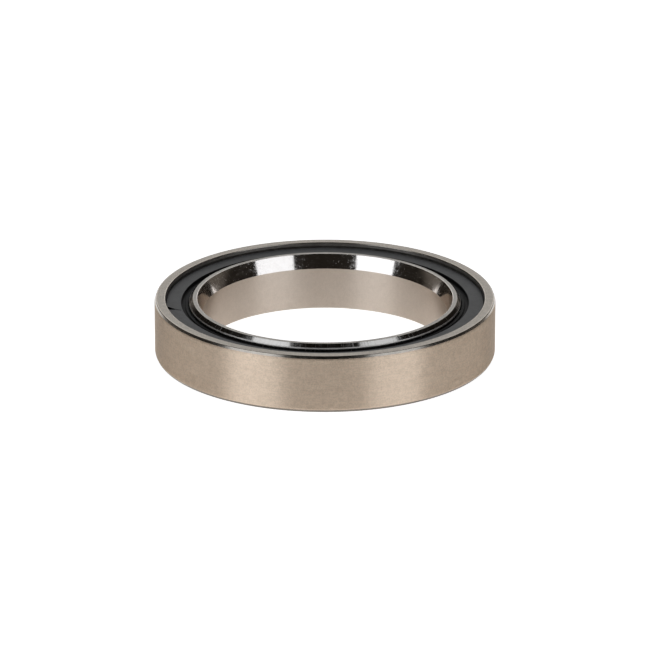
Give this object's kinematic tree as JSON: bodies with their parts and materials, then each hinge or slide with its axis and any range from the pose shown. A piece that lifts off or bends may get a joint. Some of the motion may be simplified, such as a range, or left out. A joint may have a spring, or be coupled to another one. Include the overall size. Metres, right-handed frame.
{
  "type": "ball bearing",
  "caption": "Thin-section sealed ball bearing: satin steel rings, dark rubber seals, a tall polished chamfer in the bore's upper edge, caged balls inside.",
  "frame": {"origin": "centre of the bottom face, on the bearing's axis", "axes": "+Z along the bearing's axis towards the side with the large bore chamfer; +X through ball_01"},
  "size_m": [0.038, 0.038, 0.0065],
  "materials": {
    "outer_ring_steel": "satin ground, fine grain round the axis",
    "inner_ring_steel": "satin ground bore and face, mirror-polished chamfer and cones",
    "seal_rubber": "matte moulded nitrile rubber",
    "insert_steel": "plain pressed sheet",
    "cage_steel": "pressed sheet, lightly tumbled",
    "rivet_steel": "drawn wire, flattened heads",
    "ball_steel": "polished"
  },
  "bodies": {
    "outer_body": {"outer_ring": "outer_ring_steel", "upper_seal_rubber": "seal_rubber", "upper_seal_insert": "insert_steel", "lower_seal_rubber": "seal_rubber", "lower_seal_insert": "insert_steel"},
    "inner_body": {"inner_ring": "inner_ring_steel"},
    "cage_body": {"cage_upper_half": "cage_steel", "cage_lower_half": "cage_steel", "cage_rivets": "rivet_steel"},
    "ball_01_body": {"ball_01": "ball_steel"},
    "ball_02_body": {"ball_02": "ball_steel"},
    "ball_03_body": {"ball_03": "ball_steel"},
    "ball_04_body": {"ball_04": "ball_steel"},
    "ball_05_body": {"ball_05": "ball_steel"},
    "ball_06_body": {"ball_06": "ball_steel"},
    "ball_07_body": {"ball_07": "ball_steel"},
    "ball_08_body": {"ball_08": "ball_steel"},
    "ball_09_body": {"ball_09": "ball_steel"},
    "ball_10_body": {"ball_10": "ball_steel"},
    "ball_11_body": {"ball_11": "ball_steel"},
    "ball_12_body": {"ball_12": "ball_steel"},
    "ball_13_body": {"ball_13": "ball_steel"},
    "ball_14_body": {"ball_14": "ball_steel"},
    "ball_15_body": {"ball_15": "ball_steel"},
    "ball_16_body": {"ball_16": "ball_steel"},
    "ball_17_body": {"ball_17": "ball_steel"}
  },
  "joints": [
    {"name": "inner_ring_spin", "type": "hinge", "parent": "outer_body", "child": "inner_body", "pos_m": [0, 0, 0.00325], "axis": [0, 0, 1], "continuous": true},
    {"name": "cage_spin", "type": "hinge", "parent": "outer_body", "child": "cage_body", "pos_m": [0, 0, 0.00325], "axis": [0, 0, 1], "continuous": true},
    {"name": "ball_01_spin", "type": "hinge", "parent": "cage_body", "child": "ball_01_body", "pos_m": [0.01629, 0, 0.00325], "axis": [0, 0, 1], "continuous": true},
    {"name": "ball_02_spin", "type": "hinge", "parent": "cage_body", "child": "ball_02_body", "pos_m": [0.01519, 0.00588, 0.00325], "axis": [0, 0, 1], "continuous": true},
    {"name": "ball_03_spin", "type": "hinge", "parent": "cage_body", "child": "ball_03_body", "pos_m": [0.01204, 0.01097, 0.00325], "axis": [0, 0, 1], "continuous": true},
    {"name": "ball_04_spin", "type": "hinge", "parent": "cage_body", "child": "ball_04_body", "pos_m": [0.00726, 0.01458, 0.00325], "axis": [0, 0, 1], "continuous": true},
    {"name": "ball_05_spin", "type": "hinge", "parent": "cage_body", "child": "ball_05_body", "pos_m": [0.0015, 0.01622, 0.00325], "axis": [0, 0, 1], "continuous": true},
    {"name": "ball_06_spin", "type": "hinge", "parent": "cage_body", "child": "ball_06_body", "pos_m": [-0.00446, 0.01567, 0.00325], "axis": [0, 0, 1], "continuous": true},
    {"name": "ball_07_spin", "type": "hinge", "parent": "cage_body", "child": "ball_07_body", "pos_m": [-0.00982, 0.013, 0.00325], "axis": [0, 0, 1], "continuous": true},
    {"name": "ball_08_spin", "type": "hinge", "parent": "cage_body", "child": "ball_08_body", "pos_m": [-0.01385, 0.00857, 0.00325], "axis": [0, 0, 1], "continuous": true},
    {"name": "ball_09_spin", "type": "hinge", "parent": "cage_body", "child": "ball_09_body", "pos_m": [-0.01601, 0.00299, 0.00325], "axis": [0, 0, 1], "continuous": true},
    {"name": "ball_10_spin", "type": "hinge", "parent": "cage_body", "child": "ball_10_body", "pos_m": [-0.01601, -0.00299, 0.00325], "axis": [0, 0, 1], "continuous": true},
    {"name": "ball_11_spin", "type": "hinge", "parent": "cage_body", "child": "ball_11_body", "pos_m": [-0.01385, -0.00857, 0.00325], "axis": [0, 0, 1], "continuous": true},
    {"name": "ball_12_spin", "type": "hinge", "parent": "cage_body", "child": "ball_12_body", "pos_m": [-0.00982, -0.013, 0.00325], "axis": [0, 0, 1], "continuous": true},
    {"name": "ball_13_spin", "type": "hinge", "parent": "cage_body", "child": "ball_13_body", "pos_m": [-0.00446, -0.01567, 0.00325], "axis": [0, 0, 1], "continuous": true},
    {"name": "ball_14_spin", "type": "hinge", "parent": "cage_body", "child": "ball_14_body", "pos_m": [0.0015, -0.01622, 0.00325], "axis": [0, 0, 1], "continuous": true},
    {"name": "ball_15_spin", "type": "hinge", "parent": "cage_body", "child": "ball_15_body", "pos_m": [0.00726, -0.01458, 0.00325], "axis": [0, 0, 1], "continuous": true},
    {"name": "ball_16_spin", "type": "hinge", "parent": "cage_body", "child": "ball_16_body", "pos_m": [0.01204, -0.01097, 0.00325], "axis": [0, 0, 1], "continuous": true},
    {"name": "ball_17_spin", "type": "hinge", "parent": "cage_body", "child": "ball_17_body", "pos_m": [0.01519, -0.00588, 0.00325], "axis": [0, 0, 1], "continuous": true}
  ],
  "couplings": [
    {"joint": "cage_spin", "follows": "inner_ring_spin", "ratio": 0.45127},
    {"joint": "ball_01_spin", "follows": "inner_ring_spin", "ratio": -5.0812},
    {"joint": "ball_02_spin", "follows": "inner_ring_spin", "ratio": -5.0812},
    {"joint": "ball_03_spin", "follows": "inner_ring_spin", "ratio": -5.0812},
    {"joint": "ball_04_spin", "follows": "inner_ring_spin", "ratio": -5.0812},
    {"joint": "ball_05_spin", "follows": "inner_ring_spin", "ratio": -5.0812},
    {"joint": "ball_06_spin", "follows": "inner_ring_spin", "ratio": -5.0812},
    {"joint": "ball_07_spin", "follows": "inner_ring_spin", "ratio": -5.0812},
    {"joint": "ball_08_spin", "follows": "inner_ring_spin", "ratio": -5.0812},
    {"joint": "ball_09_spin", "follows": "inner_ring_spin", "ratio": -5.0812},
    {"joint": "ball_10_spin", "follows": "inner_ring_spin", "ratio": -5.0812},
    {"joint": "ball_11_spin", "follows": "inner_ring_spin", "ratio": -5.0812},
    {"joint": "ball_12_spin", "follows": "inner_ring_spin", "ratio": -5.0812},
    {"joint": "ball_13_spin", "follows": "inner_ring_spin", "ratio": -5.0812},
    {"joint": "ball_14_spin", "follows": "inner_ring_spin", "ratio": -5.0812},
    {"joint": "ball_15_spin", "follows": "inner_ring_spin", "ratio": -5.0812},
    {"joint": "ball_16_spin", "follows": "inner_ring_spin", "ratio": -5.0812},
    {"joint": "ball_17_spin", "follows": "inner_ring_spin", "ratio": -5.0812}
  ]
}
